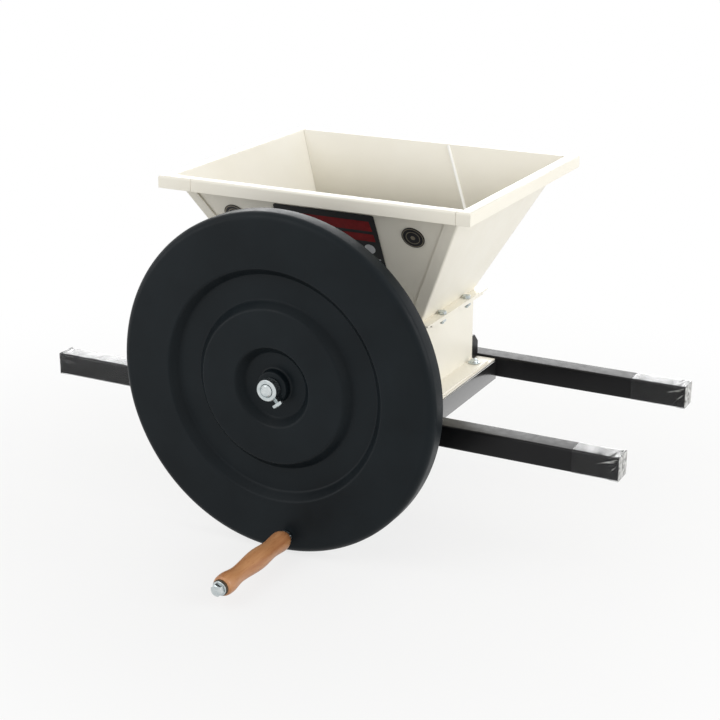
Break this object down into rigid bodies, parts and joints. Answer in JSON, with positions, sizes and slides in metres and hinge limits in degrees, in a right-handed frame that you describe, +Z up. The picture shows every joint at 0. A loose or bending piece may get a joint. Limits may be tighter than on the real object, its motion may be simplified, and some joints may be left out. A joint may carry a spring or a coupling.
{
  "type": "apple scratter",
  "caption": "Hand-cranked fruit mill: sheet hopper over a toothed drum on two rails that span a tub, turned by a flywheel with a wooden grip.",
  "frame": {"origin": "middle of the front rail's underside, where the rail rests on the tub's rim", "axes": "+X along the rails, +Y from the flywheel to the back, +Z up"},
  "size_m": [0.84, 0.64, 0.451],
  "materials": {
    "cream_paint": "smooth semi-gloss stoved paint",
    "black_paint": "semi-gloss black paint",
    "black_plastic": "fine-grained moulding",
    "zinc": "bright zinc plating",
    "stainless": "brushed stainless",
    "cast_iron": "painted casting",
    "white_nylon": "machined plastic",
    "turned_wood": "varnished beech",
    "label_print": null
  },
  "bodies": {
    "frame": {"front_rail": "black_paint", "rail_plug_front_left": "black_plastic", "rail_plug_front_right": "black_plastic", "back_rail": "black_paint", "rail_plug_back_left": "black_plastic", "rail_plug_back_right": "black_plastic", "left_cross_member": "black_paint", "right_cross_member": "black_paint", "base_plate": "cream_paint", "housing_side_left": "cream_paint", "housing_side_right": "cream_paint", "housing_front_plate": "cream_paint", "housing_rear_plate": "cream_paint", "foot_bolt_front_left": "zinc", "foot_nut_front_left": "zinc", "hopper_bolt_front_left": "zinc", "bearing_bolt_front_left": "zinc", "foot_bolt_front_right": "zinc", "foot_nut_front_right": "zinc", "hopper_bolt_front_right": "zinc", "bearing_bolt_front_right": "zinc", "foot_bolt_rear_left": "zinc", "foot_nut_rear_left": "zinc", "hopper_bolt_rear_left": "zinc", "bearing_bolt_rear_left": "zinc", "foot_bolt_rear_right": "zinc", "foot_nut_rear_right": "zinc", "hopper_bolt_rear_right": "zinc", "bearing_bolt_rear_right": "zinc", "rear_stay_left": "black_paint", "rear_stay_right": "black_paint", "hopper_front_panel": "cream_paint", "hopper_back_panel": "cream_paint", "hopper_left_panel": "cream_paint", "hopper_right_panel": "cream_paint", "label_plate": "label_print", "round_badge_left": "label_print", "round_badge_right": "label_print", "bearing_front": "cast_iron", "bearing_rear": "cast_iron", "counter_block_left": "cast_iron", "counter_block_right": "cast_iron"},
    "rotor": {"flywheel": "black_plastic", "shaft": "zinc", "drum": "white_nylon", "drum_blade_1": "stainless", "drum_blade_2": "stainless", "drum_blade_3": "stainless", "drum_blade_4": "stainless", "drum_blade_5": "stainless", "drum_blade_6": "stainless", "spacer_sleeve": "zinc", "shaft_collar": "zinc", "clamp_screw": "zinc", "rear_collar": "zinc", "crank_nut": "zinc", "crank_lock_nut": "zinc", "grip_washer": "zinc", "crank_bolt": "zinc"},
    "grip": {"grip": "turned_wood"}
  },
  "joints": [
    {"name": "flywheel_spin", "type": "hinge", "parent": "frame", "child": "rotor", "pos_m": [0, 0, 0.086], "axis": [0, 1, 0], "continuous": true},
    {"name": "grip_spin", "type": "hinge", "parent": "rotor", "child": "grip", "pos_m": [0.01922, -0.2, -0.11358], "axis": [0, 1, 0], "continuous": true}
  ]
}
